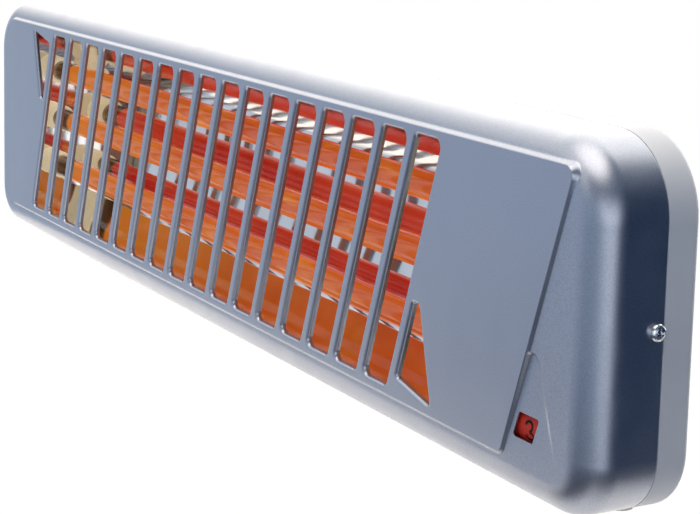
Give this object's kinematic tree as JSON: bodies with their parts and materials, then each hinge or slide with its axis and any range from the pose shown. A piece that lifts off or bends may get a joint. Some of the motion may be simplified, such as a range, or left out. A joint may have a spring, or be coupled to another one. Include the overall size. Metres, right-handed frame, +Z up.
{
  "type": "electric bar heater",
  "caption": "Wall-mounted quartz bar heater: metallic cover with a slanted grille, glowing tubes before a mirror reflector, pull switch with numbered drum, tilting bracket.",
  "frame": {"origin": "middle of the two wall screw holes, on the wall face of the bracket", "axes": "+X along the case to its switch end, +Y into the wall, +Z up; the grille faces -Y"},
  "size_m": [0.5708, 0.085, 0.1266],
  "materials": {
    "cover_paint": "fine metallic blue-grey paint, satin",
    "housing_paint": "light grey paint, satin",
    "bracket_steel": "light grey paint, satin",
    "plain_steel": "zinc plated sheet",
    "bright_steel": "zinc plated",
    "screw_chrome": "bright chrome",
    "polished_aluminium": "mirror polished",
    "quartz": "clear fused quartz",
    "glowing_coil": "resistance wire, glowing orange",
    "cap_ceramic": "unglazed cream steatite",
    "link_brass": "plain",
    "lead_blue": "glass-fibre sleeve",
    "lead_cream": "glass-fibre sleeve",
    "lead_brown": "glass-fibre sleeve",
    "white_plastic": "moulded",
    "black_plastic": "moulded",
    "nylon": "moulded",
    "black_rubber": "moulded",
    "drum_red": "moulded red, numbers printed in black"
  },
  "bodies": {
    "bracket": {"wall_bracket": "bracket_steel", "pivot_screws": "bright_steel", "pivot_nuts": "bright_steel", "pivot_washers": "nylon"},
    "heater": {"hinge_plate": "bracket_steel", "hinge_screws": "bright_steel", "rear_housing": "housing_paint", "front_cover": "cover_paint", "cover_screws": "screw_chrome", "reflector": "polished_aluminium", "end_plate_left": "polished_aluminium", "end_plate_right": "polished_aluminium", "end_plate_screws": "bright_steel", "quartz_tube_top": "quartz", "quartz_tube_middle": "quartz", "quartz_tube_bottom": "quartz", "heating_coil_top": "glowing_coil", "heating_coil_middle": "glowing_coil", "heating_coil_bottom": "glowing_coil", "tube_caps_left": "cap_ceramic", "tube_caps_right": "cap_ceramic", "terminal_studs_left": "bright_steel", "terminal_studs_right": "bright_steel", "common_link": "link_brass", "neutral_lead": "lead_blue", "element_leads": "lead_cream", "supply_leads": "lead_brown", "heat_shield": "plain_steel", "thermal_cutout": "black_plastic", "terminal_block": "white_plastic", "terminal_block_screws": "bright_steel", "cable_gland": "black_rubber", "cord_clamp": "black_plastic", "clamp_screws": "bright_steel", "earth_stud": "link_brass", "switch_frame": "plain_steel", "switch_screws": "bright_steel", "switch_body": "black_plastic", "return_spring": "bright_steel", "detent_spring": "bright_steel", "pull_bush": "white_plastic"},
    "drum": {"switch_shaft": "bright_steel", "indicator_drum": "drum_red", "ratchet_wheel": "white_plastic"},
    "lever": {"pull_lever": "plain_steel", "pawl": "link_brass"}
  },
  "joints": [
    {"name": "tilt", "type": "hinge", "parent": "bracket", "child": "heater", "pos_m": [0, -0.022, 0], "axis": [1, 0, 0], "range_deg": [0, 35]},
    {"name": "pull", "type": "hinge", "parent": "heater", "child": "lever", "pos_m": [0, -0.0714, -0.0365], "axis": [-1, 0, 0], "range_deg": [0, 30], "stiffness_Nm_per_rad": 0.12, "springref_deg": -17.19, "deforming": ["return_spring"]},
    {"name": "drum_turn", "type": "hinge", "parent": "heater", "child": "drum", "pos_m": [0, -0.0714, -0.0365], "axis": [-1, 0, 0], "range_deg": [0, 30]}
  ],
  "couplings": [
    {"joint": "drum_turn", "follows": "pull", "ratio": 1}
  ]
}
